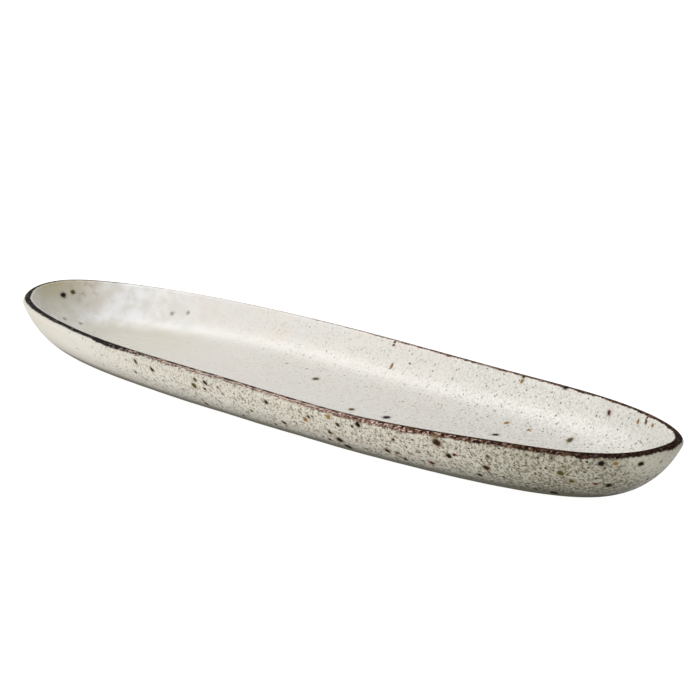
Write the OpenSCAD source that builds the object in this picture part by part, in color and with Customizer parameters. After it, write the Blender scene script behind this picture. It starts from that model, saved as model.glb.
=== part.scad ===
// Long boat-shaped stoneware plate: a pale glazed clay shell with a brown rim and a bare foot ring.
// +X runs along the plate and +Z points up. The origin is on the table, under the plate's middle.

/* [Outline] */
// Overall length over the lip
plate_length = 400; // [320:1:460]
// Overall width over the lip
plate_width = 106; // [90:1:140]
// Fullness of the outline along the sides: 2 is an ellipse, more is straighter
side_fullness = 3.1; // [2:0.1:4]
// Fullness of the outline across the ends: 2 is round, more is blunter
end_fullness = 2.1; // [1.8:0.1:3]

/* [Wall] */
// Height of the lip over the table, at the two ends
end_height = 27; // [22:0.5:36]
// How far the lip dips along the sides, below its ends
side_dip = 2.4; // [0:0.1:5]
// Thickness of the glazed wall and floor
wall_thickness = 5; // [3.5:0.1:7]
// How far the wall leans out at the ends, in degrees from upright
end_flare = 28; // [10:1:40]
// How far the wall leans out along the sides, in degrees from upright
side_flare = 21; // [10:1:35]
// Outside radius of the corner between floor and wall, at the ends
end_corner_r = 42; // [15:1:50]
// Outside radius of the corner between floor and wall, along the sides
side_corner_r = 28; // [12:1:32]
// How far the rounded lip rises over the end of the wall
lip_rise = 1.8; // [1:0.1:3]

/* [Hand-made swells of the lip] */
// Height of the long swells
long_swell = 0.3; // [0:0.05:0.6]
// Height of the middle swells
middle_swell = 0.2; // [0:0.05:0.6]
// Height of the short swells
short_swell = 0.2; // [0:0.05:0.6]

/* [Foot ring] */
// Height of the foot ring below the glazed underside
foot_height = 1; // [0.5:0.1:3]
// Width of the foot ring
foot_width = 5; // [3:0.1:8]
// Bare strip between the outside glaze and the foot ring
foot_margin = 1; // [0.5:0.1:3]

/* [Glaze] */
// Thickness of the fired glaze
glaze_thickness = 0.5; // [0.3:0.05:0.8]
// How far the brown rim band runs down the outside of the wall
band_outside = 1.6; // [0.5:0.1:4]
// How far the brown rim band runs down the inside of the wall
band_inside = 0.6; // [0.3:0.1:3]

/* [Hidden] */

// Facets: points round the outline, steps up the wall and steps over the lip
ring_points = 96;
wall_steps = 11;
lip_steps = 8;

// Swells round the lip: how many, and where the first one starts, in degrees
LONG_SWELLS = 5;
LONG_START = -150;
MIDDLE_SWELLS = 7;
MIDDLE_START = -60;
SHORT_SWELLS = 8;
SHORT_START = 0;

// How far the foot ring is keyed into the floor, so that the two are one clay solid
FOOT_KEY = 1;

half_wall = wall_thickness / 2;

// The end of the wall's outer face, where the lip starts, lies below and inside the overall size
function lip_top(flare) =
    half_wall * sin(flare) + norm([half_wall * sin(flare), lip_rise * cos(flare)]);
function lip_side(flare) =
    norm([half_wall * cos(flare), lip_rise * sin(flare)]) - half_wall * cos(flare);
wall_height = end_height - lip_top(end_flare) - foot_height;
half_length = plate_length / 2 - lip_side(end_flare);
half_width = plate_width / 2 - lip_side(side_flare);

// Places along the section: 0 to 1 climbs the outer face, 1 to 2 turns over the lip, and 2 to 3
// goes down the inner face to the floor. The rim band covers from band_start to band_end.
// Height goes with the square of the place, so by the lip a step rises twice its share of the wall.
function up_wall(distance) = distance * cos(side_flare) / (2 * wall_height);
band_start = 1 - up_wall(band_outside);
band_end = 2 + up_wall(band_inside);
outside_places = [for (k = [0:wall_steps]) band_start * k / wall_steps];
rim_places = [band_start, for (k = [0:lip_steps]) 1 + k / lip_steps, band_end];
inside_places = [for (k = [0:wall_steps]) band_end + (3 - band_end) * k / wall_steps];

// How far the outer face lies inside the top outline, at a height over the underside.
// The wall is straight down to a round corner, whose radius the wall's height may limit.
function inset(rise, flare, corner_r) =
    let (
        r = min(corner_r, wall_height / (1 - sin(flare))),
        corner_top = r * (1 - sin(flare)),
        floor_edge = (wall_height - corner_top) * tan(flare) + r * cos(flare)
    )
    rise >= corner_top
        ? (wall_height - rise) * tan(flare)
        : floor_edge - sqrt(r * r - (r - rise) * (r - rise));

// A full oval outline, at an angle that steps evenly along the plate
function oval(angle, half_x, half_y) = [
    half_x * cos(angle),
    half_y * sign(sin(angle)) * pow(1 - pow(abs(cos(angle)), side_fullness), 1 / end_fullness)
];

function swell(angle) =
    long_swell * cos(LONG_SWELLS * angle + LONG_START)
    + middle_swell * cos(MIDDLE_SWELLS * angle + MIDDLE_START)
    + short_swell * cos(SHORT_SWELLS * angle + SHORT_START);

// A point of the wall's glazed outer face. The climb goes from 0 at the floor to 1 at the lip,
// and its square is the share of the wall's height, which packs the rings into the round corner.
function outer_face(angle, climb) =
    let (
        share = climb * climb,
        rise = share * wall_height,
        plan = oval(
            angle,
            half_length - inset(rise, end_flare, end_corner_r),
            half_width - inset(rise, side_flare, side_corner_r)
        ),
        dip = side_dip * sin(angle) * sin(angle)
    )
    [plan.x, plan.y, foot_height + share * (wall_height - dip + swell(angle))];

// Directions on the outer face, from points close by: along the outline, up the wall and outwards
ANGLE_STEP = 0.5;
CLIMB_STEP = 0.004;
function unit(v) = v / norm(v);
function along_rim(angle, climb) =
    unit(outer_face(angle + ANGLE_STEP, climb) - outer_face(angle - ANGLE_STEP, climb));
function up_face(angle, climb) =
    unit(outer_face(angle, climb + CLIMB_STEP) - outer_face(angle, max(0, climb - CLIMB_STEP)));
function outwards(angle, climb) = unit(cross(along_rim(angle, climb), up_face(angle, climb)));

// A point at a place of the section, at a depth below the glazed surface
function skin(angle, place, depth) =
    place <= 1 ? outer_face(angle, place) - depth * outwards(angle, place)
    : place >= 2
        ? outer_face(angle, 3 - place) - (wall_thickness - depth) * outwards(angle, 3 - place)
    : let (
        out = outwards(angle, 1),
        turn = 180 * (place - 1)
    )
    outer_face(angle, 1) - half_wall * out
        + (half_wall - depth) * cos(turn) * out
        + (lip_rise - depth) * sin(turn) * up_face(angle, 1);

function ring(place, depth) =
    [for (i = [0:ring_points - 1]) skin(360 * i / ring_points, place, depth)];
function rings(places, depth) = [for (place = places) each ring(place, depth)];

// Triangles between neighbouring rings, facing out from the plate
function strip_faces(ring_count) = [
    for (j = [0:ring_count - 2], i = [0:ring_points - 1])
        let (
            a = j * ring_points + i,
            b = j * ring_points + (i + 1) % ring_points,
            c = b + ring_points,
            d = a + ring_points
        )
        each [[a, d, c], [a, c, b]]
];

// Triangles across one ring, as rungs between its two sides, facing down
function rung_faces(first) =
    let (half = ring_points / 2)
    [
        [first, first + 1, first + ring_points - 1],
        for (i = [1:half - 2])
            each [
                [first + i, first + i + 1, first + ring_points - i - 1],
                [first + i, first + ring_points - i - 1, first + ring_points - i]
            ],
        [first + half - 1, first + half, first + half + 1]
    ];

// Triangles of the narrow edge between two rings, one on each face of a coat
function edge_faces(front, back) = [
    for (i = [0:ring_points - 1])
        let (next = (i + 1) % ring_points)
        each [
            [front + i, front + next, back + next],
            [front + i, back + next, back + i]
        ]
];

function turned(faces) = [for (f = faces) [f[0], f[2], f[1]]];
function shifted(faces, by) = [for (f = faces) [for (index = f) index + by]];

// A coat of glaze over the given places, from the glazed surface down to the clay.
// A coat that ends at the floor covers the floor too.
module coat(places, covers_floor = false) {
    count = len(places);
    back = count * ring_points;
    last = back - ring_points;
    front_faces = strip_faces(count);
    lower_edge = covers_floor
        ? concat(turned(rung_faces(last)), rung_faces(last + back))
        : turned(edge_faces(last, last + back));
    polyhedron(
        points = concat(rings(places, 0), rings(places, glaze_thickness)),
        faces = concat(
            front_faces,
            turned(shifted(front_faces, back)),
            edge_faces(0, back),
            lower_edge
        )
    );
}

// The underside's flat outline, taken in by a distance
module underside(take_in) {
    half_x = half_length - inset(0, end_flare, end_corner_r) - take_in;
    half_y = half_width - inset(0, side_flare, side_corner_r) - take_in;
    polygon([for (i = [0:ring_points - 1]) oval(360 * i / ring_points, half_x, half_y)]);
}

// Fired clay shell, bare on its foot ring
module stoneware_body() {
    places = [
        each outside_places,
        for (k = [1:len(rim_places) - 1]) rim_places[k],
        for (k = [1:wall_steps]) inside_places[k]
    ];
    count = len(places);
    color("#b9a48a") {
        polyhedron(
            points = rings(places, glaze_thickness),
            faces = concat(
                strip_faces(count),
                rung_faces(0),
                turned(rung_faces((count - 1) * ring_points))
            )
        );
        linear_extrude(foot_height + glaze_thickness + FOOT_KEY)
            difference() {
                underside(foot_margin);
                underside(foot_margin + foot_width);
            }
    }
}

// Glaze of the well: the floor and the inner face of the wall
module inside_glaze() {
    color("#dedad2") coat(inside_places, covers_floor = true);
}

// Glaze of the wall's outer face, from the rim band down to the underside
module outside_glaze() {
    color("#cfc9bc") coat(outside_places);
}

// Brown band where the glaze breaks over the lip
module rim_band() {
    color("#3f2c25") coat(rim_places);
}

// Glaze of the underside, within the foot ring
module base_glaze() {
    color("#cfc9bc")
        translate([0, 0, foot_height])
            linear_extrude(glaze_thickness)
                underside(foot_margin + foot_width);
}

stoneware_body();
inside_glaze();
outside_glaze();
rim_band();
base_glaze();
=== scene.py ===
"""The looks of a long boat-shaped stoneware plate: bare clay, speckled pale glaze and a brown rim.

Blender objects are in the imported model's frame, in metres. The shape functions work in millimetres.
"""

import math
from functools import reduce
from typing import NamedTuple

import bpy
import numpy as np
from mathutils import Matrix, Vector


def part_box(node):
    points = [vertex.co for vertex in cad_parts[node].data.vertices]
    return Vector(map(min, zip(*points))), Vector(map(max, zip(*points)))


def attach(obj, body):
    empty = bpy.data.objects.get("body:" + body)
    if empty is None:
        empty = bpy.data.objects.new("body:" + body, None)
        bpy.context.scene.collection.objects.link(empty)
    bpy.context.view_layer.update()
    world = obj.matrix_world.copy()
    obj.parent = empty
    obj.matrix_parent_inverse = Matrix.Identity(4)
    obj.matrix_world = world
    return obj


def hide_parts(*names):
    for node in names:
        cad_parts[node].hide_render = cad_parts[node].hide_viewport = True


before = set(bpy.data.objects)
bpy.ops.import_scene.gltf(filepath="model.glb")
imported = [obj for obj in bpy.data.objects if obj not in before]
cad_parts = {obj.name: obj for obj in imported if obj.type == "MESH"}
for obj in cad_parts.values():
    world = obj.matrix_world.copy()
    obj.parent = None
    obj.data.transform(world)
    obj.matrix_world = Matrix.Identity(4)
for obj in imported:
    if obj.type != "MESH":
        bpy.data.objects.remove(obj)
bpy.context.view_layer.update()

MM = 0.001


def node_size(node):
    """Lowest and highest corner of a CAD node, in mm."""
    low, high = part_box(node)
    return np.array(low) / MM, np.array(high) / MM


# Overall sizes in mm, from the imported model
rim_low, rim_high = node_size("rim_band")
base_low, base_high = node_size("base_glaze")
plate_length, plate_width = (rim_high - rim_low)[:2]
foot_height = base_low[2]
glaze_thickness = base_high[2] - base_low[2]

# Shape of the section and the outline, in mm and degrees, as in the part's source
END_HEIGHT = 27.0
SIDE_DIP = 2.4
WALL_THICKNESS = 5.0
LIP_RISE = 1.8
END_FLARE, SIDE_FLARE = math.radians(28), math.radians(21)
END_CORNER_R, SIDE_CORNER_R = 42.0, 28.0
SIDE_FULLNESS, END_FULLNESS = 3.1, 2.1
BAND_OUTSIDE, BAND_INSIDE = 1.6, 0.6
FOOT_WIDTH, FOOT_MARGIN = 5.0, 1.0
# Swells round the lip: how many, how high and where they start
SWELLS = ((5, 0.3, -150), (7, 0.2, -60), (8, 0.2, 0))
# Softened edges of the foot ring, in mm, which the source leaves sharp
FOOT_EDGE_R = 0.4

# Mesh detail: points round the plate, and rows up each face of the wall, over the lip, down each
# leg of the rim band and from the edge of the floor to its middle
RING = 480
WALL_ROWS = 40
LIP_ROWS = 24
BAND_ROWS = 4
FLOOR_ROWS = 12

half_wall = WALL_THICKNESS / 2
angles = np.linspace(0, 2 * np.pi, RING, endpoint=False)


def lip_top(flare):
    """How far the lip's top lies above the end of the wall's outer face."""
    lean = half_wall * math.sin(flare)
    return lean + math.hypot(lean, LIP_RISE * math.cos(flare))


def lip_side(flare):
    """How far the lip's side stands out past the end of the wall's outer face."""
    half_lip = half_wall * math.cos(flare)
    return math.hypot(half_lip, LIP_RISE * math.sin(flare)) - half_lip


wall_height = END_HEIGHT - lip_top(END_FLARE) - foot_height
half_length = plate_length / 2 - lip_side(END_FLARE)
half_width = plate_width / 2 - lip_side(SIDE_FLARE)


def inset(rise, flare, corner_r):
    """How far the outer face lies inside the top outline, at a height over the underside."""
    corner_top = corner_r * (1 - math.sin(flare))
    floor_edge = (wall_height - corner_top) * math.tan(flare) + corner_r * math.cos(flare)
    if rise >= corner_top:
        return (wall_height - rise) * math.tan(flare)
    return floor_edge - math.sqrt(corner_r**2 - (corner_r - rise) ** 2)


def oval(angle, half_x, half_y):
    """Points of a full oval outline, at angles that step evenly along the plate."""
    fullness = np.clip(1 - np.abs(np.cos(angle)) ** SIDE_FULLNESS, 0, None)
    return half_x * np.cos(angle), half_y * np.sign(np.sin(angle)) * fullness ** (1 / END_FULLNESS)


def outer_face(angle, climb):
    """Points of the wall's outer face. The climb goes from 0 at the floor to 1 at the lip."""
    share = climb**2
    rise = share * wall_height
    x, y = oval(
        angle,
        half_length - inset(rise, END_FLARE, END_CORNER_R),
        half_width - inset(rise, SIDE_FLARE, SIDE_CORNER_R),
    )
    swell = sum(
        height * np.cos(count * angle + math.radians(start)) for count, height, start in SWELLS
    )
    z = foot_height + share * (wall_height - SIDE_DIP * np.sin(angle) ** 2 + swell)
    return np.stack([x, y, z], -1)


def unit(vectors):
    return vectors / np.linalg.norm(vectors, axis=-1, keepdims=True)


# Small steps that give directions on the outer face
ANGLE_STEP = math.radians(0.5)
CLIMB_STEP = 0.004


def up_face(angle, climb):
    """Directions up the outer face."""
    above = outer_face(angle, climb + CLIMB_STEP)
    below = outer_face(angle, max(0, climb - CLIMB_STEP))
    return unit(above - below)


def outwards(angle, climb):
    """Directions out of the outer face."""
    along = outer_face(angle + ANGLE_STEP, climb) - outer_face(angle - ANGLE_STEP, climb)
    return unit(np.cross(along, up_face(angle, climb)))


def skin(place, depth=0.0, angle=angles):
    """Ring of points at a place of the section, at a depth below the glazed surface.

    Places 0 to 1 climb the outer face, 1 to 2 turn over the lip, 2 to 3 go down the inner face.
    """
    depth = np.broadcast_to(depth, angle.shape)[:, None]
    if place <= 1:
        return outer_face(angle, place) - depth * outwards(angle, place)
    if place >= 2:
        return outer_face(angle, 3 - place) - (WALL_THICKNESS - depth) * outwards(angle, 3 - place)
    out = outwards(angle, 1.0)
    turn = math.pi * (place - 1)
    middle = outer_face(angle, 1.0) - half_wall * out
    return (
        middle
        + (half_wall - depth) * math.cos(turn) * out
        + (LIP_RISE - depth) * math.sin(turn) * up_face(angle, 1.0)
    )


# Unevenness of the glaze, in mm: its mean depth below the even surface, and the heights of its
# long waves, its short waves and its dimples
MEAN_DEPTH = 0.21
LONG_WAVE, SHORT_WAVE, DIMPLE = 0.1, 0.05, 0.03
# Share of the unevenness that is left over the lip, and the place where it starts to fade out
LIP_SINK = 0.4
SINK_START = 0.7


def unevenness(points):
    """Depth, in mm, by which the hand-smoothed glaze lies below its even surface.

    The waves run at different slants and lengths, so that they look like no pattern.
    """
    x, y, z = points.T
    long_waves = np.sin(x / 27 + 1.4 * np.sin(y / 19 + z / 8))
    short_waves = np.sin(x / 11 - y / 9 + 1.7 * np.sin(x / 41))
    dimples = np.sin(x / 4.7 + y / 3.9) * np.sin(y / 5.3 - x / 6.1 + z / 3)
    return MEAN_DEPTH + LONG_WAVE * long_waves + SHORT_WAVE * short_waves + DIMPLE * dimples


def glazed(place):
    """Ring of the glaze's surface, which lies more even towards the lip."""
    share = np.interp(place, (SINK_START, 1, 2, 3 - SINK_START), (1, LIP_SINK, LIP_SINK, 1))
    return skin(place, share * unevenness(skin(place)))


def clay(place):
    """Ring of the clay's surface, under the glaze."""
    return skin(place, glaze_thickness)


def toward_spine(ring, share):
    """A ring drawn in towards the plate's long middle line."""
    reach = 1 - np.ptp(ring[:, 1]) / np.ptp(ring[:, 0])
    spine = ring * [reach, 0, 1]
    return ring + share * (spine - ring)


def flat_rows(ring, inwards):
    """Rows between a flat ring and its spine. The spine is one row of half as many points."""
    rows = [toward_spine(ring, share) for share in np.linspace(0, 1, FLOOR_ROWS + 1)[1:]]
    rows[-1] = rows[-1][: RING // 2 + 1]
    return rows if inwards else rows[::-1]


# Places where the rim band starts outside and ends inside
band_start = 1 - BAND_OUTSIDE * math.cos(SIDE_FLARE) / (2 * wall_height)
band_end = 2 + BAND_INSIDE * math.cos(SIDE_FLARE) / (2 * wall_height)
outside_places = np.linspace(0, band_start, WALL_ROWS)
inside_places = np.linspace(band_end, 3, WALL_ROWS)
rim_places = np.concatenate(
    [
        np.linspace(band_start, 1, BAND_ROWS)[:-1],
        np.linspace(1, 2, LIP_ROWS),
        np.linspace(2, band_end, BAND_ROWS)[1:],
    ]
)

# Place of the lip's crest
CREST = 1.5
# Length over the lip from its crest to the wall, in mm
LIP_QUARTER = math.pi / 2 * math.sqrt((half_wall**2 + LIP_RISE**2) / 2)


def lip_gap(place):
    """Distance in mm from the lip's crest along the surface: above 0 outside, below 0 inside."""
    if 1 <= place <= 2:
        return np.full(RING, (3 - 2 * place) * LIP_QUARTER)
    edge = 1.0 if place < 1 else 2.0
    down = np.linalg.norm(skin(place) - skin(edge), axis=1)
    return (LIP_QUARTER + down) * (1 if place < 1 else -1)


# Height in mm, along the plate, of the wall's lower edge where it shows from the camera, along which
# a contact shadow is painted
CONTACT_SHADOW_LINE = (
    (-200, 2), (-185, 5), (-150, 8.4), (-106, 7.9), (-49, 6.9), (59, 7),
    (102, 6.8), (140, 6.2), (170, 6.2), (185, 4), (200, 1),
)
# What changes along the plate, as places in mm and the values there, for the near and the far
# side: how dark the rim is, how dark the line along its inner edge is, how many mm its brown
# reaches out and in from the crest, how dense the speckle of the wall and of the well is, how
# high the painted contact shadow along the wall's lower edge lies, and how stained, partly with
# painted shade, and how hazy the end of the well is
RUNS = {
    "rim_dark": (
        (
            (-200, 1), (-80, 1), (-50, 0), (50, 0), (90, 0.38), (110, 0.55),
            (130, 0.72), (150, 0.88), (180, 1), (200, 1),
        ),
        (
            (-200, 1), (-185, 0.9), (-150, 0.1), (-20, 0.15),
            (20, 0.3), (110, 0.4), (160, 0.9), (200, 1),
        ),
    ),
    "inner_line": (
        ((-200, 1), (200, 1)),
        ((-200, 1), (-185, 0.7), (-150, 0), (-60, 0.1), (0, 0.5), (110, 0.9), (200, 1)),
    ),
    "rim_outer": (
        (
            (-200, 2.2), (-192, 0.9), (-170, 0.6), (-140, 0.5), (-105, 0.45), (-95, 1.1),
            (-75, 1.35), (-60, 0.7), (0, 0.6), (40, 0.9), (80, 1.6), (105, 2.0), (135, 1.45),
            (175, 1.5), (187, 1.8), (194, 1.5), (200, 1.1),
        ),
        ((-200, 2.2), (-170, 1.6), (170, 1.8), (200, 1.3)),
    ),
    "rim_inner": (
        (
            (-200, -2.2), (-180, -1.95), (-140, -1.85), (-100, -1.8),
            (-70, -2.3), (170, -2.6), (190, -2.6), (200, -2.1),
        ),
        (
            (-200, -2.2), (-185, -1.9), (-160, -1.2), (-80, -1.2), (-40, -1.6),
            (0, -2.2), (60, -2.6), (150, -2.5), (200, -1.7),
        ),
    ),
    "wall_speckle": (
        (
            (-200, 0), (-132, 0), (-115, 0.1), (-100, 0.36), (-85, 0.5), (-60, 0.62), (-8, 0.7),
            (46, 0.74), (82, 0.8), (125, 0.87), (138, 0.9), (150, 0.96), (165, 1), (190, 1),
            (194, 0.95), (198, 0.75), (200, 0.6),
        ),
        (
            (-200, 0), (-150, 0.2), (-60, 0.6), (0, 0.72),
            (80, 0.82), (150, 0.95), (185, 1), (200, 0.45),
        ),
    ),
    "well_speckle": (
        (
            (-200, 0), (-110, 0), (-70, 0.15), (-45, 0.25),
            (15, 0.47), (58, 0.66), (93, 0.95), (200, 1),
        ),
        (
            (-200, 0.1), (-150, 0.17), (-105, 0.34), (-66, 0.54), (-36, 0.6),
            (22, 0.68), (50, 0.9), (90, 1), (200, 1),
        ),
    ),
    "contact_shadow_line": (CONTACT_SHADOW_LINE, CONTACT_SHADOW_LINE),
    "end_stain_and_shade": (
        ((-200, 0.9), (-195, 0.7), (-190, 0.45), (-184, 0.2), (-174, 0)),
        ((-200, 0.9), (-195, 0.6), (-188, 0.3), (-180, 0.12), (-165, 0)),
    ),
    "end_haze": (
        ((-197, 0), (-190, 0.6), (-180, 0.9), (-165, 0.7), (-145, 0.25), (-115, 0)),
        ((-197, 0), (-188, 0.4), (-176, 0.9), (-160, 0.7), (-135, 0.3), (-100, 0)),
    ),
}
# Half the width, in mm, over which the near values turn into the far ones
BLEND_WIDTH = 15


def run_values(name, points):
    """Values of a run at points round the plate."""
    near, far = (np.interp(points[:, 0], *zip(*run)) for run in RUNS[name])
    share = np.interp(points[:, 1], (-BLEND_WIDTH, BLEND_WIDTH), (0, 1))
    return near + share * (far - near)


# Share of its true length that a hidden row gets on the texture map
HIDDEN_SHARE = 0.03
# Gap between the strips of the texture map, in mm
MAP_MARGIN = 2.0


class Rows:
    """Rings of points that follow one another along a section, with what is read from them.

    Each has its distance from the lip's crest, and whether the strip after it is in sight.
    """

    def __init__(self):
        self.points, self.gaps, self.seen = [], [], []

    def add(self, ring, gap, seen):
        self.points.append(ring)
        self.gaps.append(np.broadcast_to(gap, RING)[: len(ring)])
        self.seen.append(seen)

    def faces(self, closed):
        """Quads between neighbouring rows, facing out. A spine's points serve both sides."""
        starts = np.cumsum([0] + [len(ring) for ring in self.points])
        around = np.arange(RING)
        both_sides = np.minimum(around, RING - around)
        index = [
            start + (around if len(ring) == RING else both_sides)
            for start, ring in zip(starts, self.points)
        ]
        pairs = list(zip(index, index[1:]))
        if closed:
            pairs.append((index[-1], index[0]))
        return np.concatenate(
            [np.stack([a, np.roll(a, -1), np.roll(b, -1), b], -1) for a, b in pairs]
        )

    def texture_map(self, closed, strips):
        """Map corners for each face: the section unrolled round the plate, cut into strips."""
        ring_order = self.points + self.points[:1] if closed else self.points
        mean_step = [
            np.linalg.norm(a[: len(b)] - b[: len(a)], axis=1).mean() * (1 if seen else HIDDEN_SHARE)
            for a, b, seen in zip(ring_order, ring_order[1:], self.seen)
        ]
        v = np.concatenate([[0], np.cumsum(mean_step)])
        full_rings = [ring for ring in self.points if len(ring) == RING]
        widest = max(full_rings, key=lambda ring: np.ptp(ring[:, 0]))
        steps_round = np.linalg.norm(np.roll(widest, -1, 0) - widest, axis=1)
        u = np.concatenate([[0], np.cumsum(steps_round)])
        per_strip = RING // strips
        column = np.arange(RING)
        strip = column // per_strip
        left = u[column] - u[strip * per_strip]
        right = u[column + 1] - u[strip * per_strip]
        bottom = strip * (v[-1] + MAP_MARGIN)
        corners = np.empty((len(mean_step), RING, 4, 2))
        for row in range(len(mean_step)):
            low, high = bottom + v[row], bottom + v[row + 1]
            outline = [(left, low), (right, low), (right, high), (left, high)]
            corners[row] = np.stack([np.stack(corner, -1) for corner in outline], 1)
        corners /= corners.reshape(-1, 2).max(0)
        return corners.reshape(-1, 2)


# Edges that turn by more than this look sharp
SHARP_ANGLE = math.radians(40)


def add_object(name, data):
    made = bpy.data.objects.new(name, data)
    bpy.context.scene.collection.objects.link(made)
    return made


def hold_values(mesh, name, values):
    """Stores a value at each point of a mesh."""
    mesh.attributes.new(name, "FLOAT", "POINT").data.foreach_set("value", values)


def make_piece(name, rows, node, material, closed, strips):
    """A closed mesh from rows of points, standing for a CAD node.

    The last row of a closed piece joins its first. The texture map is cut into strips.
    """
    points = np.concatenate(rows.points)
    mesh = bpy.data.meshes.new(name)
    mesh.from_pydata((points * MM).tolist(), [], rows.faces(closed).tolist())
    hold_values(mesh, "lip_gap", np.concatenate(rows.gaps))
    for run in RUNS:
        hold_values(mesh, run, run_values(run, points))
    corners = rows.texture_map(closed, strips)
    mesh.uv_layers.new(name="OFBake").data.foreach_set("uv", corners.ravel())
    mesh.shade_smooth()
    mesh.set_sharp_from_angle(angle=SHARP_ANGLE)
    mesh.materials.append(material)
    piece = add_object(name, mesh)
    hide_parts(node)
    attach(piece, "root")


class Nodes:
    """Short calls for building a node tree."""

    def __init__(self, tree):
        self.tree = tree

    def feed(self, socket, value):
        if isinstance(value, bpy.types.NodeSocket):
            self.tree.links.new(value, socket)
        else:
            socket.default_value = value

    def node(self, kind, inputs=None, **settings):
        made = self.tree.nodes.new(kind)
        for key, value in settings.items():
            setattr(made, key, value)
        for key, value in (inputs or {}).items():
            self.feed(made.inputs[key], value)
        return made

    def math(self, operation, first, second=0.0):
        return self.node("ShaderNodeMath", {0: first, 1: second}, operation=operation).outputs[0]

    def split(self, vector):
        return self.node("ShaderNodeSeparateXYZ", {"Vector": vector}).outputs

    def vector(self, operation, first, second=(0, 0, 0), scale=1.0):
        inputs = {0: first, 1: second, 3: scale}
        made = self.node("ShaderNodeVectorMath", inputs, operation=operation)
        return made.outputs[1 if operation == "DISTANCE" else 0]

    def step(self, value, start, end, low=0.0, high=1.0, shape="SMOOTHSTEP"):
        """A step from low to high as the value goes from start to end."""
        inputs = {"Value": value, "From Min": start, "From Max": end}
        inputs |= {"To Min": low, "To Max": high}
        return self.node("ShaderNodeMapRange", inputs, interpolation_type=shape).outputs["Result"]


# Share of a speck's radius at which it reaches its full strength
SPECK_CORE = 0.5


class Shader(Nodes):
    """The nodes of one material, with places in mm."""

    def __init__(self, name):
        self.material = bpy.data.materials.new(name)
        self.material.use_nodes = True
        super().__init__(self.material.node_tree)
        self.surface = self.tree.nodes["Principled BSDF"]
        place = self.node("ShaderNodeTexCoord").outputs["Object"]
        self.place = self.vector("SCALE", place, scale=1 / MM)
        self.x, self.y, self.z = self.split(self.place)

    def field(self, name):
        """A value that the mesh holds."""
        return self.node("ShaderNodeAttribute", attribute_name=name).outputs["Fac"]

    def mix(self, share, first, second):
        made = self.node("ShaderNodeMix", data_type="RGBA")
        self.feed(made.inputs[0], share)
        for socket, colour in ((made.inputs[6], first), (made.inputs[7], second)):
            self.feed(socket, colour if isinstance(colour, bpy.types.NodeSocket) else (*colour, 1))
        return made.outputs[2]

    def noise(self, size, detail=2.0, place=None):
        """Noise whose lumps are about the given size, in mm, as a value and a colour."""
        inputs = {"Vector": place or self.place, "Scale": 1 / size, "Detail": detail}
        return self.node("ShaderNodeTexNoise", inputs).outputs

    def patches(self, kind, low=0.0, high=1.0, place=None):
        """Patches of a kind of noise, which go from low to high at their edges."""
        size, edges, detail = kind
        return self.step(self.noise(size, detail, place)[0], *edges, low, high)

    def specks(self, place, spacing, smallest, largest, share):
        """Specks of random size, in mm, at a share of the places that are spaced out."""
        cells = self.node("ShaderNodeTexVoronoi", {"Vector": place, "Scale": 1 / spacing})
        random = self.node("ShaderNodeSeparateColor", {"Color": cells.outputs["Color"]})
        chosen = self.math("LESS_THAN", random.outputs[0], share)
        radius = self.step(random.outputs[1], 0, 1, smallest / 2 / spacing, largest / 2 / spacing)
        radius = self.math("MULTIPLY", radius, chosen)
        core = self.math("MULTIPLY", radius, SPECK_CORE)
        return self.step(cells.outputs["Distance"], radius, core), random.outputs[2]

    def finish(self, colour, roughness, bump_height, bump_depth):
        """Feeds the surface. The bump's depth is in mm."""
        bump = self.node("ShaderNodeBump", {"Height": bump_height, "Distance": bump_depth * MM})
        self.feed(self.surface.inputs["Base Color"], colour)
        self.feed(self.surface.inputs["Roughness"], roughness)
        self.feed(self.surface.inputs["Normal"], bump.outputs["Normal"])
        return self.material


# Colours, as linear red, green and blue
RIM_BLACK = (0.015, 0.014, 0.013)
RIM_UMBER = (0.012, 0.006, 0.004)
RIM_BROWN = (0.115, 0.058, 0.03)
RIM_RED = (0.19, 0.10, 0.078)
RIM_FLECK = (0.52, 0.41, 0.35)
# Olive stain at the end of the well, partly painted shade
STAIN_AND_SHADE = (0.372, 0.332, 0.17)
SMUDGE = (0.30, 0.21, 0.15)
HAZE = (0.78, 0.782, 0.795)
MURK = (0.63, 0.615, 0.58)
POOL_OLIVE = (0.59, 0.56, 0.475)
# Tone of the painted contact shadow along the wall's lower edge
CONTACT_SHADOW_TONE = (0.10, 0.094, 0.068)
TIP_TINT = (0.60, 0.59, 0.46)
# Iron spots: the tone of their core and of the halo round it
SPOT_TONES = {
    "black": ((0.008, 0.007, 0.006), (0.14, 0.11, 0.07)),
    "umber": ((0.03, 0.016, 0.009), (0.20, 0.14, 0.07)),
    "maroon": ((0.06, 0.016, 0.012), (0.26, 0.17, 0.12)),
    "olive": ((0.075, 0.06, 0.022), (0.26, 0.22, 0.13)),
    "ochre": ((0.22, 0.13, 0.045), (0.40, 0.32, 0.20)),
    "faint": ((0.33, 0.31, 0.27), (0.46, 0.44, 0.40)),
}

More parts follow.
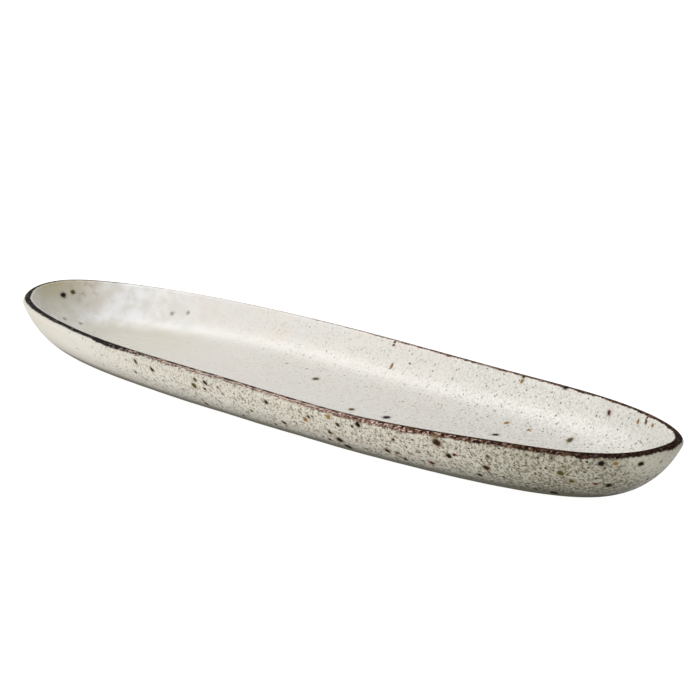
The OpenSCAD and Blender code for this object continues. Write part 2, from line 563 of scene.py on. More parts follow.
# Larger iron spots, in mm: along the plate, across it (inside) or height (outside), width, tone
INSIDE_SPOTS = (
    (-192, 3, 2.8, "black"), (-191, 8, 2.2, "olive"), (-183, -3, 2.0, "faint"),
    (-178, 3, 2.0, "faint"), (-146, 33, 2.0, "faint"), (-138, 36, 2.0, "faint"),
    (-61, 32, 1.8, "faint"), (-34.5, 26.5, 2.8, "olive"), (-33.6, 25.6, 2.8, "umber"),
    (15.6, 3.4, 2.6, "olive"), (16.4, 2.6, 2.4, "olive"), (35.4, 5.5, 3.4, "black"),
    (36.5, 4.5, 3.4, "black"), (-3.7, 43.2, 1.5, "ochre"), (-3.7, 43.6, 1.6, "ochre"),
    (-3.7, 44, 1.5, "ochre"), (-7, 48, 1.8, "maroon"), (87, 20, 3.2, "black"),
    (81, 32, 2.4, "ochre"), (95, 31, 1.8, "ochre"), (120, 30, 3.2, "olive"),
    (133, 39, 2.6, "maroon"), (154, 34, 2.0, "ochre"), (159.1, 33, 1.5, "maroon"),
    (159.7, 32.4, 1.8, "maroon"), (165, 30.5, 1.8, "ochre"), (75.8, 46.9, 1.5, "umber"),
    (75, 46.6, 1.8, "ochre"),
)
OUTSIDE_SPOTS = (
    (-64, 21.5, 1.8, "olive"), (-64, 20, 1.6, "umber"), (-53, 19, 2.2, "umber"),
    (-68, 15, 1.8, "olive"), (-24, 17.5, 2.8, "olive"), (-22, 21, 1.8, "olive"),
    (-15, 21, 2.2, "umber"), (-17, 18, 1.6, "umber"), (-7, 20, 1.6, "ochre"),
    (-24, 8.5, 2.2, "umber"), (25, 20, 2.2, "umber"), (11, 13, 1.6, "olive"),
    (31, 11.5, 2.2, "black"), (48, 17, 2.4, "ochre"), (51, 18.5, 1.5, "umber"),
    (64, 21.5, 2.2, "ochre"), (68, 19, 2.0, "umber"), (61, 14, 2.2, "umber"),
    (64, 11, 3.4, "black"), (57, 9, 1.8, "umber"), (66, 7.7, 3.6, "black"),
    (77, 20, 1.6, "umber"), (81, 21.5, 2.6, "black"), (99, 18.5, 1.6, "maroon"),
    (92, 11.5, 2.6, "umber"), (97, 11.5, 1.6, "umber"), (99, 9, 2.2, "black"),
    (122, 22, 3.6, "umber"), (126, 16.5, 2.2, "black"), (129, 17.5, 1.6, "maroon"),
    (114, 10.5, 2.6, "maroon"), (145, 20, 1.6, "olive"), (142, 14, 2.8, "umber"),
    (136, 9.5, 2.0, "black"), (157, 6.5, 1.8, "black"), (162.7, 5.6, 3.4, "black"),
    (1, 8.6, 1.6, "umber"), (22.6, 8.6, 1.6, "umber"), (173, 17, 2.8, "olive"),
    (175, 13, 2.2, "olive"), (182, 12.5, 1.8, "maroon"), (188, 22.5, 2.6, "black"),
    (192, 22.5, 1.8, "ochre"), (185, 12, 2.4, "black"), (197, 22, 2.4, "black"),
    (192, 13, 1.8, "maroon"), (198.5, 21.4, 1.6, "ochre"),
)

# Outside spots above this height, in mm, reach the rim
RIM_SPOT_HEIGHT = 18.5
# On the inner half of the far lip, in mm: along the plate, height, width and tone
FAR_RIM_SPOTS = (
    (66, 24, 2.6, "umber"), (102, 25, 3.4, "black"), (-7, 24, 1.5, "maroon"),
    (75.4, 24, 1.8, "umber"), (160.5, 26, 1.8, "maroon"), (159.7, 25.3, 1.5, "maroon"),
)

# Points where a spot's middle may lie: this many times closer together than the mesh's
SPOT_FINENESS = 5
SPOT_ANGLES = np.linspace(0, 2 * np.pi, SPOT_FINENESS * RING, endpoint=False)
SPOT_SHARES = np.linspace(0, 1, SPOT_FINENESS * FLOOR_ROWS)


def surface_points(places):
    """Points all over the surface at the given places of the section."""
    return np.concatenate([skin(place, angle=SPOT_ANGLES) for place in places])


def floor_points():
    """Points all over the floor of the well."""
    edge = skin(3.0, angle=SPOT_ANGLES)
    return np.concatenate([toward_spine(edge, share) for share in SPOT_SHARES])


def on_surface(points, axes, wanted):
    """The point of a surface whose two given coordinates are nearest to the wanted ones."""
    return points[np.argmin(np.linalg.norm(points[:, axes] - wanted, axis=1))]


def spot_centres(spots, points, axes):
    """The middle, width and tone of each listed spot."""
    return [(on_surface(points, axes, spot[:2]), *spot[2:]) for spot in spots]


# A spot's core and halo fade over these shares of its width
SPOT_CORE = (0.62, 0.3)
SPOT_HALO = (1.0, 0.4)
HALO_STRENGTH = 0.55


def add_spots(shader, colour, place, spots, shape=(1, 1, 1)):
    """Paints each tone's spots over a colour, with a ragged core and a soft halo.

    Says where the cores are, too. The shape squeezes the places that the spots are drawn in.
    """
    cores = 0.0
    place = shader.vector("MULTIPLY", place, shape)
    for tone, (core_tint, halo_tint) in SPOT_TONES.items():
        reaches = [
            shader.math("DIVIDE", shader.vector("DISTANCE", place, tuple(centre * shape)), width)
            for centre, width, its_tone in spots
            if its_tone == tone
        ]
        if reaches:
            nearest = reduce(lambda first, second: shader.math("MINIMUM", first, second), reaches)
            core = shader.step(nearest, *SPOT_CORE)
            halo = shader.step(nearest, *SPOT_HALO, 0, HALO_STRENGTH)
            colour = shader.mix(halo, colour, halo_tint)
            colour = shader.mix(core, colour, core_tint)
            cores = shader.math("MAXIMUM", core, cores)
    return colour, cores


class Grain(NamedTuple):
    """A layer of soft grains: its tint, its size in mm, the thresholds of its noise where the
    speckle is thinnest and densest, how soft the threshold is, and its strength."""

    tint: tuple
    size: float
    thin: float
    dense: float
    softness: float
    strength: float


class Specks(NamedTuple):
    """A layer of round specks: how far apart they lie, their least and largest width, all in mm,
    the share of them that shows where the speckle is densest, and their three tints."""

    spacing: float
    smallest: float
    largest: float
    share: float
    tints: tuple


class Look(NamedTuple):
    """What differs between the glaze inside and outside: the run that gives the speckle's density,
    the glaze's tones, the power of the density by which it greys, the density at which specks
    start, the strength of the faintest ones, the layers of grains and specks, the least and the
    largest roughness, and the specular level."""

    speckle: str
    pale: tuple
    warm: tuple
    cool: tuple
    grey: tuple
    greying: float
    speck_start: float
    faintest: float
    grains: tuple
    specks: tuple
    roughness: tuple
    shine: float


WELL_IRON = ((0.20, 0.185, 0.155), (0.22, 0.175, 0.125), (0.075, 0.065, 0.05))
WALL_IRON = ((0.11, 0.093, 0.057), (0.145, 0.08, 0.036), (0.03, 0.025, 0.018))
WALL_SALT = ((0.49, 0.46, 0.385), (0.48, 0.435, 0.345), (0.53, 0.50, 0.43))

WELL_LOOK = Look(
    speckle="well_speckle",
    pale=(0.65, 0.622, 0.578), warm=(0.645, 0.60, 0.548), cool=(0.635, 0.62, 0.59),
    grey=(0.67, 0.65, 0.605), greying=2, speck_start=0.42, faintest=0.9,
    grains=(Grain((0.40, 0.385, 0.345), 1.2, 0.72, 0.50, 0.13, 0.45),),
    specks=(Specks(1.35, 0.4, 1.0, 0.7, WELL_IRON), Specks(2.9, 0.6, 1.4, 0.42, WELL_IRON)),
    roughness=(0.27, 0.35), shine=0.25,
)
# Towards the end at plus X, where the wall's speckle is densest, its dark grey ground is partly
# painted shade
WALL_LOOK = Look(
    speckle="wall_speckle",
    pale=(0.655, 0.617, 0.548), warm=(0.645, 0.597, 0.518), cool=(0.635, 0.611, 0.545),
    grey=(0.42, 0.397, 0.32), greying=4, speck_start=0.0, faintest=0.5,
    grains=(
        Grain((0.31, 0.28, 0.205), 1.1, 0.72, 0.535, 0.06, 0.7),
        Grain((0.13, 0.12, 0.085), 1.3, 0.86, 0.515, 0.06, 0.75),
    ),
    specks=(
        Specks(1.35, 0.5, 1.2, 0.85, WALL_IRON),
        Specks(1.7, 0.6, 1.3, 0.5, WALL_SALT),
        Specks(2.4, 0.7, 1.6, 0.6, WALL_IRON),
        Specks(5.2, 1.0, 2.2, 0.42, WALL_IRON),
    ),
    roughness=(0.32, 0.42), shine=0.06,
)

# Patches of noise: their size in mm, the values of the noise at their edges, and its detail
CLOUDS, WISPS = (40, (0.35, 0.65), 2), (13, (0.45, 0.65), 4)
SATIN_PATCHES = (6, (0.3, 0.7), 2)
HAZE_PATCHES, SMUDGE_BLOTS = (7, (0.36, 0.64), 4), (4, (0.42, 0.62), 4)
WORN_PLACES, LINE_BREAKS = (5, (0.36, 0.58), 2), (4, (0.42, 0.56), 3)
DARK_PATCHES, BROWN_GLINTS = (1.6, (0.36, 0.64), 3), (1.3, (0.42, 0.65), 3)
CLAY_CLOUDS = (12, (0.35, 0.65), 3)

# Roughness where iron breaks through the glaze, and the specular level of the rim
IRON_ROUGHNESS, RIM_SHINE = 0.95, 0.03
# Size and depth of the fine relief, in mm
RELIEF_SIZE, GLAZE_RELIEF = 1.8, 0.006
# Densities of the speckle between which the grains come up to their full strength
GRAIN_START, GRAIN_FULL = 0.12, 0.35
# Density of the speckle up to which the specks are faintest
FAINT_DENSITY = 0.4
# Random values between which specks turn to their second tint and to their third
SECOND_TINT, THIRD_TINT = (0.3, 0.5), (0.6, 0.8)
# Moves each layer of grains and specks off the others, in mm
LAYER_SHIFT = (31, 57, 13)
# Squeezes places, so that specks and the wall's spots are drawn out along the plate
LENGTHWISE = (0.82, 1, 1)
# Ragged edges of specks and spots: the size of the rags and how far they reach, in mm
RAG_SIZE, RAG_REACH = 1.1, 1.2
NOISE_MEAN = 0.5


def ragged(shader):
    """Places moved about a little, which gives specks and spots ragged edges."""
    colour = shader.noise(RAG_SIZE, detail=1)[1]
    shift = shader.vector("SUBTRACT", colour, (NOISE_MEAN,) * 3)
    return shader.vector("ADD", shader.place, shader.vector("SCALE", shift, scale=RAG_REACH))


def turned_near(shader, place):
    """Places with the far half of the plate turned half round onto the near half."""
    side = shader.step(shader.math("GREATER_THAN", shader.y, 0), 0, 1, 1, -1, "LINEAR")
    turn = shader.node("ShaderNodeCombineXYZ", {"X": side, "Y": side, "Z": 1.0}).outputs[0]
    return shader.vector("MULTIPLY", place, turn)


def speckled(shader, place, look):
    """Pale glaze with clouds, grains and specks. It is greyer where the speckle is dense."""
    density = shader.field(look.speckle)
    clouds = shader.patches(CLOUDS)
    wisps = shader.patches(WISPS)
    colour = shader.mix(wisps, shader.mix(clouds, look.pale, look.warm), look.cool)
    # Greyer where the speckle is dense; on the wall this grey is partly painted shade
    colour = shader.mix(shader.math("POWER", density, look.greying), colour, look.grey)

    moved = shader.place
    for grain in look.grains:
        moved = shader.vector("ADD", moved, LAYER_SHIFT)
        threshold = shader.step(density, 0, 1, grain.thin, grain.dense, "LINEAR")
        over = shader.math("SUBTRACT", shader.noise(grain.size, place=moved)[0], threshold)
        strength = shader.step(density, GRAIN_START, GRAIN_FULL, 0, grain.strength)
        mask = shader.step(over, -grain.softness, grain.softness, 0, strength)
        colour = shader.mix(mask, colour, grain.tint)
    place = shader.vector("MULTIPLY", place, LENGTHWISE)
    speck_strength = shader.step(density, FAINT_DENSITY, 1, look.faintest, 1, "LINEAR")
    for layer in look.specks:
        place = shader.vector("ADD", place, LAYER_SHIFT)
        share = shader.step(density, look.speck_start, 1, 0, layer.share, "LINEAR")
        mask, tone = shader.specks(place, layer.spacing, layer.smallest, layer.largest, share)
        mask = shader.math("MULTIPLY", mask, speck_strength)
        first, second, third = layer.tints
        tint = shader.mix(shader.step(tone, *SECOND_TINT), first, second)
        tint = shader.mix(shader.step(tone, *THIRD_TINT), tint, third)
        colour = shader.mix(mask, colour, tint)
    return colour


def shaded(shader, colour, shade):
    """A colour made darker."""
    return shader.vector("SCALE", colour, scale=shade)


# Shift of the haze's patches, in mm
HAZE_SHIFT = (30, 0, 0)
# Brown smudge by the far rim: its middle, and the distances over which it comes up, in mm, and
# the least and largest strength of its blots
SMUDGE_PLACE, SMUDGE_REACH = (-188.5, 13, 23), (11, 2)
BLOT_STRENGTH = (0.1, 0.55)
# Heights in mm between which the floor's olive tint, where the glaze pools, and its painted shade
# fade out, the painted shade, and where along the plate the shade fades out
POOL_AND_SHADE_LEVEL, POOL_AND_SHADE_TOP = 6.5, 12
FLOOR_PAINTED_SHADE, FLOOR_SHADE_FADE = 0.92, (170, 130)
# Where along the plate the glaze that pools on the floor turns olive, in mm, and how strongly
OLIVE_START, OLIVE_STRENGTH = (-90, -140), 0.8
# The well's wall is a little darker towards the end at plus X: above these heights and past these
# places, in mm
END_SHADE = 0.93
END_SHADE_LEVEL, END_SHADE_TOP = 9, 14
END_SHADE_START = (115, 145)


def hazed(shader, colour):
    """A bluish haze, an olive stain that is partly painted shade, and a brown smudge at one end of
    the well.
    """
    moved = shader.vector("ADD", shader.place, HAZE_SHIFT)
    patches = shader.patches(HAZE_PATCHES, place=moved)
    mottled = shader.mix(patches, MURK, HAZE)
    colour = shader.mix(shader.field("end_haze"), colour, mottled)
    colour = shader.mix(shader.field("end_stain_and_shade"), colour, STAIN_AND_SHADE)
    reach = shader.step(shader.vector("DISTANCE", shader.place, SMUDGE_PLACE), *SMUDGE_REACH)
    blots = shader.patches(SMUDGE_BLOTS, *BLOT_STRENGTH)
    return shader.mix(shader.math("MULTIPLY", reach, blots), colour, SMUDGE)


def end_tones(shader, colour):
    """The well's tones: haze, a stain that is partly painted shade and a smudge at one end, olive
    glaze where it pools and painted shade on its floor, and a little shade on its wall at the
    other end."""
    colour = hazed(shader, colour)
    pool_and_shade = shader.step(shader.z, POOL_AND_SHADE_TOP, POOL_AND_SHADE_LEVEL)
    olive = shader.step(shader.x, *OLIVE_START, 0, OLIVE_STRENGTH)
    colour = shader.mix(shader.math("MULTIPLY", pool_and_shade, olive), colour, POOL_OLIVE)
    # Painted shade on the floor, which fades out towards the end at plus X
    pool_and_shade = shader.math("MULTIPLY", pool_and_shade, shader.step(shader.x, *FLOOR_SHADE_FADE))
    colour = shaded(shader, colour, shader.step(pool_and_shade, 0, 1, 1, FLOOR_PAINTED_SHADE, "LINEAR"))
    end_shade = shader.step(shader.z, END_SHADE_LEVEL, END_SHADE_TOP, 1, END_SHADE)
    return shaded(shader, colour, shader.step(shader.x, *END_SHADE_START, 1, end_shade))


# Where along the plate the green tint of the tip starts and is full, in mm, and its strength
TIP_START, TIP_STRENGTH = (190, 199), 0.5
# Painted contact shadow along the wall's lower edge: heights over its line between which it fades in,
# in mm, and strength
FOOT_EDGE_FADE, CONTACT_SHADOW_STRENGTH = (2.4, -0.8), 0.7
# Painted shade towards the foot: heights between which it fades out, in mm, and the shade itself
FOOT_SHADE_FADE, FOOT_SHADE = (1, 16), 0.3
# Painted shades by the lip, which darken its outer curve where it catches more light: distances
# from its crest over which they fade out, in mm
LIP_SHADE = 0.88
LIP_SHADE_FADE, PALE_LIP_FADE = (1.5, 4), (1.5, 4.5)
# Where along the plate the paler half's own lip shade ends, in mm
PALE_LIP_END = (-20, 50)
# Where along the plate the lip shade grows darker, in mm, and its shade there
DARK_LIP_START, DARK_LIP_SHADE = (120, 170), 0.8


def tip_tint(shader, colour):
    """The wall's glaze turns a little green round one end."""
    return shader.mix(shader.step(shader.x, *TIP_START, 0, TIP_STRENGTH), colour, TIP_TINT)


def dry_edge_and_shadow(shader):
    """How close a place is to the wall's lower edge, where a contact shadow is painted and the glaze
    runs thin, dry and matt.
    """
    over_line = shader.math("SUBTRACT", shader.z, shader.field("contact_shadow_line"))
    return shader.step(over_line, *FOOT_EDGE_FADE)


def foot_shade(shader, colour):
    """Painted shade on the wall towards its lower edge, and a painted contact shadow along that edge.
    """
    colour = shaded(shader, colour, shader.step(shader.z, *FOOT_SHADE_FADE, FOOT_SHADE, 1))
    # Painted contact shadow along the wall's lower edge
    edge = shader.math("MULTIPLY", dry_edge_and_shadow(shader), CONTACT_SHADOW_STRENGTH)
    return shader.mix(edge, colour, CONTACT_SHADOW_TONE)


def lip_shade(shader, colour):
    """Painted shade on the wall by the lip, against the light its outer curve catches, and more so
    on the paler half.
    """
    gap = shader.field("lip_gap")
    pale = shader.step(gap, *PALE_LIP_FADE, LIP_SHADE, 1)
    pale = shader.step(shader.x, *PALE_LIP_END, pale, 1.0)
    deepest = shader.step(shader.x, *DARK_LIP_START, LIP_SHADE, DARK_LIP_SHADE)
    edge = shader.step(gap, *LIP_SHADE_FADE, deepest, 1)
    return shaded(shader, colour, shader.math("MULTIPLY", pale, edge))


def satin(shader, colour, iron, look):
    """Feeds the surface of a satin glaze, which is matt where iron breaks through it."""
    roughness = shader.patches(SATIN_PATCHES, *look.roughness)
    roughness = shader.step(iron, 0, 1, roughness, IRON_ROUGHNESS, "LINEAR")
    shader.surface.inputs["Specular IOR Level"].default_value = look.shine
    return shader.finish(colour, roughness, shader.noise(RELIEF_SIZE)[0], GLAZE_RELIEF)


def well_material(spots):
    shader = Shader("well_glaze")
    place = ragged(shader)
    colour = end_tones(shader, speckled(shader, place, WELL_LOOK))
    colour, cores = add_spots(shader, colour, place, spots)
    return satin(shader, colour, cores, WELL_LOOK)


def wall_material(spots):
    shader = Shader("wall_glaze")
    place = ragged(shader)
    colour = tip_tint(shader, speckled(shader, place, WALL_LOOK))
    colour = lip_shade(shader, foot_shade(shader, colour))
    colour, cores = add_spots(shader, colour, turned_near(shader, place), spots, LENGTHWISE)
    return satin(shader, colour, shader.math("MAXIMUM", cores, dry_edge_and_shadow(shader)), WALL_LOOK)


def underside_material():
    shader = Shader("underside_glaze")
    colour = speckled(shader, ragged(shader), WALL_LOOK)
    return satin(shader, colour, 0.0, WALL_LOOK)


# Fringe of the rim's brown: size and reach in mm, and detail, of its frays and of its sways. Only
# a share of it is left towards the end at minus X.
RIM_FRINGES = ((1.5, 1.8, 3), (8, 1.6, 1))
CALM_END, CALM_SHARE = (-110, -60), 0.45
# Distances past the brown's outer and inner edge between which it fades in, in mm
OUTER_FADE, INNER_FADE = (0.45, -0.35), (-0.4, 0.3)
# Share of the fringe that moves the lines along the crest
CREST_FRINGE = 0.6
# Pale flecks: their size in mm and the edges of their noise. They gather this far inside the crest
# and thin out over these distances, in mm, by what is added to the noise.
FLECK_SIZE, FLECK_EDGES = 1.0, (0.43, 0.58)
PALE_LINE_INSET, PALE_LINE_FADE, PALE_LINE_BOOST = 0.5, (1.2, 0.2), (-0.05, 0.07)
# Dark lines along the inner and the outer edge: distances over which they start, in mm
INNER_LINE_FADE, OUTER_LINE_FADE = (0, -0.5), (-0.6, -0.3)
# What is left of the inner line where it is worn, where along the plate the wear ends, in mm, and
# the least and largest strength of the broken outer line
WORN_SHARE, WORN_END = 0.35, (60, 110)
BREAK_STRENGTH = (0.15, 0.9)
# What dark patches add to the rim's darkness, and between which sums it turns dark
PATCH_BOOST, PATCH_DARK = (-0.4, 0.4), (0.2, 0.75)
# Where along the plate the umber and its glints start, in mm, where the glints end, and the share
# of them that is left there
UMBER_START = (-60, 60)
GLINT_END, GLINT_LEFT = (192, 160), 0.2


def rim_fringe(shader):
    """How far, in mm, the rim's edges are frayed at a place."""
    fringe = 0.0
    for size, reach, detail in RIM_FRINGES:
        lumps = shader.math("SUBTRACT", shader.noise(size, detail)[0], NOISE_MEAN)
        fringe = shader.math("ADD", shader.math("MULTIPLY", lumps, reach), fringe)
    return shader.math("MULTIPLY", fringe, shader.step(shader.x, *CALM_END, CALM_SHARE, 1))


def rim_strip(shader, crest, long_place):
    """The rim's red-brown, with pale flecks that gather along the crest."""
    off_line = shader.math("ABSOLUTE", shader.math("ADD", crest, PALE_LINE_INSET))
    pale_line = shader.step(off_line, *PALE_LINE_FADE, *PALE_LINE_BOOST)
    grains = shader.noise(FLECK_SIZE, place=long_place)[0]
    flecks = shader.math("ADD", grains, pale_line)
    return shader.mix(shader.step(flecks, *FLECK_EDGES), RIM_RED, RIM_FLECK)


def rim_darkness(shader, crest, past_outer):
    """How dark the rim is: along its inner edge, along its outer edge and in patches."""
    worn_least = shader.step(shader.x, *WORN_END, WORN_SHARE, 1)
    worn = shader.patches(WORN_PLACES, worn_least, 1)
    line = shader.step(crest, *INNER_LINE_FADE)
    line = shader.math("MULTIPLY", line, shader.field("inner_line"))
    line = shader.math("MULTIPLY", line, worn)
    breaks = shader.patches(LINE_BREAKS, *BREAK_STRENGTH)
    edge = shader.math("MULTIPLY", shader.step(past_outer, *OUTER_LINE_FADE), breaks)
    patches = shader.patches(DARK_PATCHES, *PATCH_BOOST)
    patchy = shader.step(shader.math("ADD", shader.field("rim_dark"), patches), *PATCH_DARK)
    return shader.math("MAXIMUM", shader.math("MAXIMUM", line, edge), patchy)


def rim_dark_tone(shader, long_place):
    """The rim's dark tone: black at one end, umber with brown glints towards the other."""
    umber = shader.step(shader.x, *UMBER_START)
    glints = shader.patches(BROWN_GLINTS, place=long_place)
    ends = shader.math("MULTIPLY", umber, shader.step(shader.x, *GLINT_END, GLINT_LEFT, 1))
    glints = shader.math("MULTIPLY", glints, ends)
    return shader.mix(glints, shader.mix(umber, RIM_BLACK, RIM_UMBER), RIM_BROWN)


def rim_cover(shader):
    """How much of the rim's brown lies at a place, and its colour there."""
    gap = shader.field("lip_gap")
    fringe = rim_fringe(shader)
    frayed = shader.math("ADD", gap, fringe)
    past_outer = shader.math("SUBTRACT", frayed, shader.field("rim_outer"))
    past_inner = shader.math("SUBTRACT", frayed, shader.field("rim_inner"))
    within_outer = shader.step(past_outer, *OUTER_FADE)
    within_inner = shader.step(past_inner, *INNER_FADE)
    cover = shader.math("MULTIPLY", within_outer, within_inner)

    crest = shader.math("ADD", gap, shader.math("MULTIPLY", fringe, CREST_FRINGE))
    long_place = shader.vector("MULTIPLY", shader.place, LENGTHWISE)
    strip = rim_strip(shader, crest, long_place)
    dark = rim_dark_tone(shader, long_place)
    return cover, shader.mix(rim_darkness(shader, crest, past_outer), strip, dark)


# Distances from the lip's crest between which the well's glaze turns into the wall's, in mm
GLAZE_MEETING = (-0.5, 0.5)


def rim_material(wall_spots, lip_spots):
    """Brown rim over the glaze of the well and of the wall, which meet under it."""
    shader = Shader("rim_glaze")
    place = ragged(shader)
    outside = shader.step(shader.field("lip_gap"), *GLAZE_MEETING)
    wall_glaze = lip_shade(shader, tip_tint(shader, speckled(shader, place, WALL_LOOK)))
    well_glaze = end_tones(shader, speckled(shader, place, WELL_LOOK))
    glaze = shader.mix(outside, well_glaze, wall_glaze)
    cover, brown = rim_cover(shader)
    colour = shader.mix(cover, glaze, brown)
    near_place = turned_near(shader, place)
    colour, wall_cores = add_spots(shader, colour, near_place, wall_spots, LENGTHWISE)
    colour, lip_cores = add_spots(shader, colour, place, lip_spots)
    iron = shader.math("MAXIMUM", shader.math("MAXIMUM", wall_cores, lip_cores), cover)
    return satin(shader, colour, iron, WALL_LOOK._replace(shine=RIM_SHINE))


# Bare clay: its two tones, and its iron grains: how far apart they lie, their least and largest
# width, all in mm, the share of places that hold one, and their two tones
CLAY_TONES = ((0.36, 0.26, 0.17), (0.44, 0.34, 0.24))
CLAY_GRAINS = (1.4, 0.2, 0.6, 0.5)
CLAY_IRON = ((0.10, 0.06, 0.04), (0.24, 0.17, 0.11))
# Sand of the clay: its size and the depth of its relief, in mm, and the roughness it gives
SAND_SIZE, SAND_RELIEF = 0.5, 0.12
SAND_EDGES, SAND_ROUGHNESS = (0.3, 0.7), (0.7, 0.9)


def clay_material():
    """Bare fired stoneware: warm, matt and sandy, with dark iron grains."""
    shader = Shader("bare_clay")
    clouds = shader.patches(CLAY_CLOUDS)
    colour = shader.mix(clouds, *CLAY_TONES)
    grains, tone = shader.specks(shader.place, *CLAY_GRAINS)
    colour = shader.mix(grains, colour, shader.mix(tone, *CLAY_IRON))
    sand = shader.noise(SAND_SIZE, detail=3)[0]
    roughness = shader.step(sand, *SAND_EDGES, *SAND_ROUGHNESS)
    return shader.finish(colour, roughness, sand, SAND_RELIEF)


def underside_ring(take_in, height):
    """The underside's flat outline, taken in by a distance."""
    x, y = oval(
        angles,
        half_length - inset(0, END_FLARE, END_CORNER_R) - take_in,
        half_width - inset(0, SIDE_FLARE, SIDE_CORNER_R) - take_in,
    )
    return np.stack([x, y, np.full(RING, height)], -1)


# Distance from the lip's crest, in mm, that stands for all places far below it
FAR_GAP = 60


def well_rows():
    """The glaze of the well: up its back from the floor's middle, then down its face."""
    rows = Rows()
    for ring in flat_rows(clay(3.0), inwards=False):
        rows.add(ring, -FAR_GAP, False)
    for place in inside_places[::-1]:
        rows.add(clay(place), lip_gap(place), False)
    for place in inside_places:
        rows.add(glazed(place), lip_gap(place), True)
    for ring in flat_rows(skin(3.0), inwards=True):
        sunk = ring - unevenness(ring)[:, None] * [0, 0, 1]
        rows.add(sunk, -FAR_GAP, True)
    return rows


def coat_rows(places):
    """A glaze coat: along its face, then back along the clay."""
    rows = Rows()
    for place in places:
        rows.add(glazed(place), lip_gap(place), True)
    for place in places[::-1]:
        rows.add(clay(place), lip_gap(place), False)
    return rows


def underside_rows():
    """The glaze within the foot ring: out along its face, then back along the clay."""
    rows = Rows()
    take_in = FOOT_MARGIN + FOOT_WIDTH
    for ring in flat_rows(underside_ring(take_in, foot_height), inwards=False):
        rows.add(ring, FAR_GAP, True)
    rows.add(underside_ring(take_in, foot_height), FAR_GAP, False)
    top = underside_ring(take_in, foot_height + glaze_thickness)
    rows.add(top, FAR_GAP, False)
    for ring in flat_rows(top, inwards=True):
        rows.add(ring, FAR_GAP, False)
    return rows


def body_rows():
    """The clay: out along the underside, over the foot ring, up the wall and into the well."""
    rows = Rows()
    under = foot_height + glaze_thickness
    inner, outer = FOOT_MARGIN + FOOT_WIDTH, FOOT_MARGIN
    for ring in flat_rows(underside_ring(inner, under), inwards=False):
        rows.add(ring, FAR_GAP, False)
    foot_path = (
        (inner, under), (inner, FOOT_EDGE_R), (inner - FOOT_EDGE_R, 0),
        (outer + FOOT_EDGE_R, 0), (outer, FOOT_EDGE_R), (outer, under),
    )
    for take_in, height in foot_path:
        rows.add(underside_ring(take_in, height), FAR_GAP, True)
    for place in (*outside_places, *rim_places[1:], *inside_places[1:]):
        rows.add(clay(place), FAR_GAP, False)
    for ring in flat_rows(clay(3.0), inwards=True):
        rows.add(ring, FAR_GAP, False)
    return rows


# Axes of the plan and of the side view
PLAN, SIDE_VIEW = [0, 1], [0, 2]
# Places of the rim band that the outside spots may reach: its outer leg and a third of the lip
OUTER_RIM = rim_places[: BAND_ROWS + LIP_ROWS // 3]


def build_plate():
    """Makes the five pieces, one for each CAD node."""
    well_points = np.concatenate([surface_points(inside_places), floor_points()])
    inside_spots = spot_centres(INSIDE_SPOTS, well_points, PLAN)
    wall_points = surface_points((*outside_places, *OUTER_RIM))
    near_wall = wall_points[wall_points[:, 1] < 0]
    outside_spots = spot_centres(OUTSIDE_SPOTS, near_wall, SIDE_VIEW)
    high_spots = [spot for spot in outside_spots if spot[0][2] > RIM_SPOT_HEIGHT]
    inner_lip = surface_points(rim_places[rim_places > CREST])
    lip_spots = spot_centres(FAR_RIM_SPOTS, inner_lip[inner_lip[:, 1] > 0], SIDE_VIEW)

    make_piece(
        "glazed_well", well_rows(), "inside_glaze", well_material(inside_spots),
        closed=False, strips=4,
    )
    make_piece(
        "glazed_wall", coat_rows(outside_places), "outside_glaze",
        wall_material(outside_spots), closed=True, strips=5,
    )
    make_piece(
        "brown_lip", coat_rows(rim_places), "rim_band",
        rim_material(high_spots, lip_spots), closed=True, strips=10,
    )
    make_piece(
        "glazed_underside", underside_rows(), "base_glaze", underside_material(),
        closed=False, strips=4,
    )
    make_piece(
        "clay_body", body_rows(), "stoneware_body", clay_material(),
        closed=False, strips=4,
    )


# Camera: its direction from the plate, its distance and its shift to the right and up, in metres,
# and its lens and sensor, in mm
CAMERA_AZIMUTH, CAMERA_ELEVATION = math.radians(48.5), math.radians(13.6)
CAMERA_DISTANCE = 1.2956
CAMERA_RIGHT, CAMERA_UP = 0.0121, 0.0286
LENS, SENSOR = 154.1, 36.0


def look_axes():
    """The camera's right, up and backward directions."""
    sine, cosine = math.sin(CAMERA_AZIMUTH), math.cos(CAMERA_AZIMUTH)
    flat = math.cos(CAMERA_ELEVATION)
    back = Vector((sine * flat, -cosine * flat, math.sin(CAMERA_ELEVATION)))
    right = Vector((cosine, sine, 0))
    return right, back.cross(right), back


def add_camera():
    right, up, back = look_axes()
    data = bpy.data.cameras.new("camera")
    data.lens, data.sensor_width = LENS, SENSOR
    camera = add_object("camera", data)
    camera.matrix_world = Matrix((right, up, back)).transposed().to_4x4()
    camera.location = CAMERA_DISTANCE * back + CAMERA_RIGHT * right + CAMERA_UP * up
    bpy.context.scene.camera = camera


WHITE = (1, 1, 1, 1)
# The floor glows, so that next to no shadow shows on it. Its size is in metres.
FLOOR_SIZE = 16.0
FLOOR_LOOK = {
    "Base Color": (0.15, 0.15, 0.15, 1),
    "Roughness": 0.9,
    "Specular IOR Level": 0.1,
    "Emission Color": WHITE,
    "Emission Strength": 0.97,
}


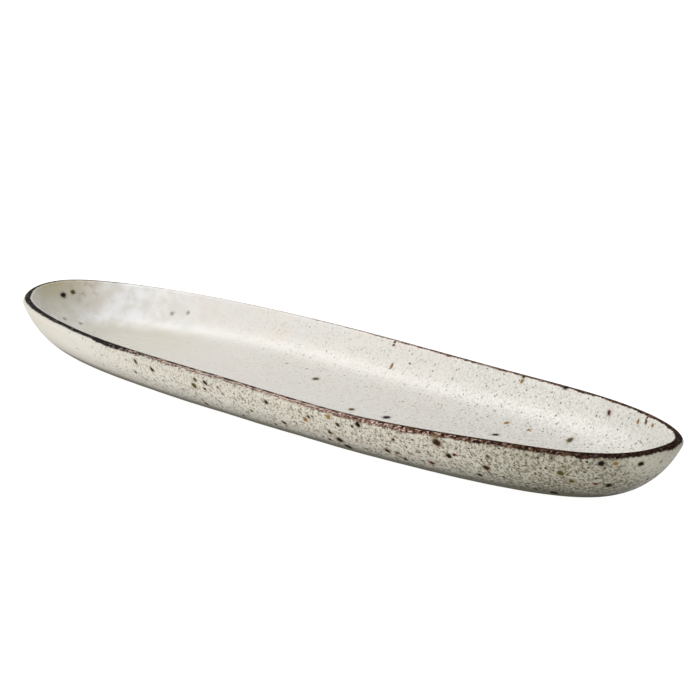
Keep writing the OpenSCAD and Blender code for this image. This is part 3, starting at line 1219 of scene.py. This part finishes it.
def add_floor():
    half = FLOOR_SIZE / 2
    corners = [(-half, -half, 0), (half, -half, 0), (half, half, 0), (-half, half, 0)]
    mesh = bpy.data.meshes.new("floor")
    mesh.from_pydata(corners, [], [(0, 1, 2, 3)])
    material = bpy.data.materials.new("floor")
    material.use_nodes = True
    surface = material.node_tree.nodes["Principled BSDF"]
    for key, value in FLOOR_LOOK.items():
        surface.inputs[key].default_value = value
    material.cycles.emission_sampling = "NONE"
    mesh.materials.append(material)
    floor = add_object("floor", mesh)
    floor.visible_diffuse = floor.visible_glossy = floor.visible_shadow = False


# Soft box: where it stands in metres, its width and height in metres, and its power in watts
SOFT_BOX_PLACE = Vector((-1.0, -0.18, 1.25))
SOFT_BOX_SIZE = (0.45, 1.8)
SOFT_BOX_POWER = 13.0
# Light of the studio along X, Y and Z: from the minus side and from the plus side
SKY_SIDES = ((0.25, 0.15), (1.8, 0.8), (0.0, 0.3))


def add_soft_box():
    data = bpy.data.lights.new("soft_box", "AREA")
    data.shape, data.energy = "RECTANGLE", SOFT_BOX_POWER
    data.size, data.size_y = SOFT_BOX_SIZE
    light = add_object("soft_box", data)
    light.location = SOFT_BOX_PLACE
    light.rotation_mode = "QUATERNION"
    light.rotation_quaternion = SOFT_BOX_PLACE.to_track_quat("Z", "Y")


def add_sky():
    world = bpy.data.worlds.new("studio")
    world.use_nodes = True
    nodes = Nodes(world.node_tree)
    direction = nodes.split(nodes.node("ShaderNodeTexCoord").outputs["Generated"])
    light = 0.0
    for axis, (minus, plus) in zip(direction, SKY_SIDES):
        from_minus = nodes.math("MULTIPLY", axis, -minus)
        from_plus = nodes.math("MULTIPLY", axis, plus)
        side = nodes.math("MAXIMUM", from_minus, from_plus)
        light = nodes.math("ADD", side, light)
    background = world.node_tree.nodes["Background"]
    background.inputs["Color"].default_value = WHITE
    nodes.feed(background.inputs["Strength"], light)
    bpy.context.scene.world = world


build_plate()
add_camera()
add_floor()
add_soft_box()
add_sky()
bpy.context.scene.view_settings.view_transform = "Standard"
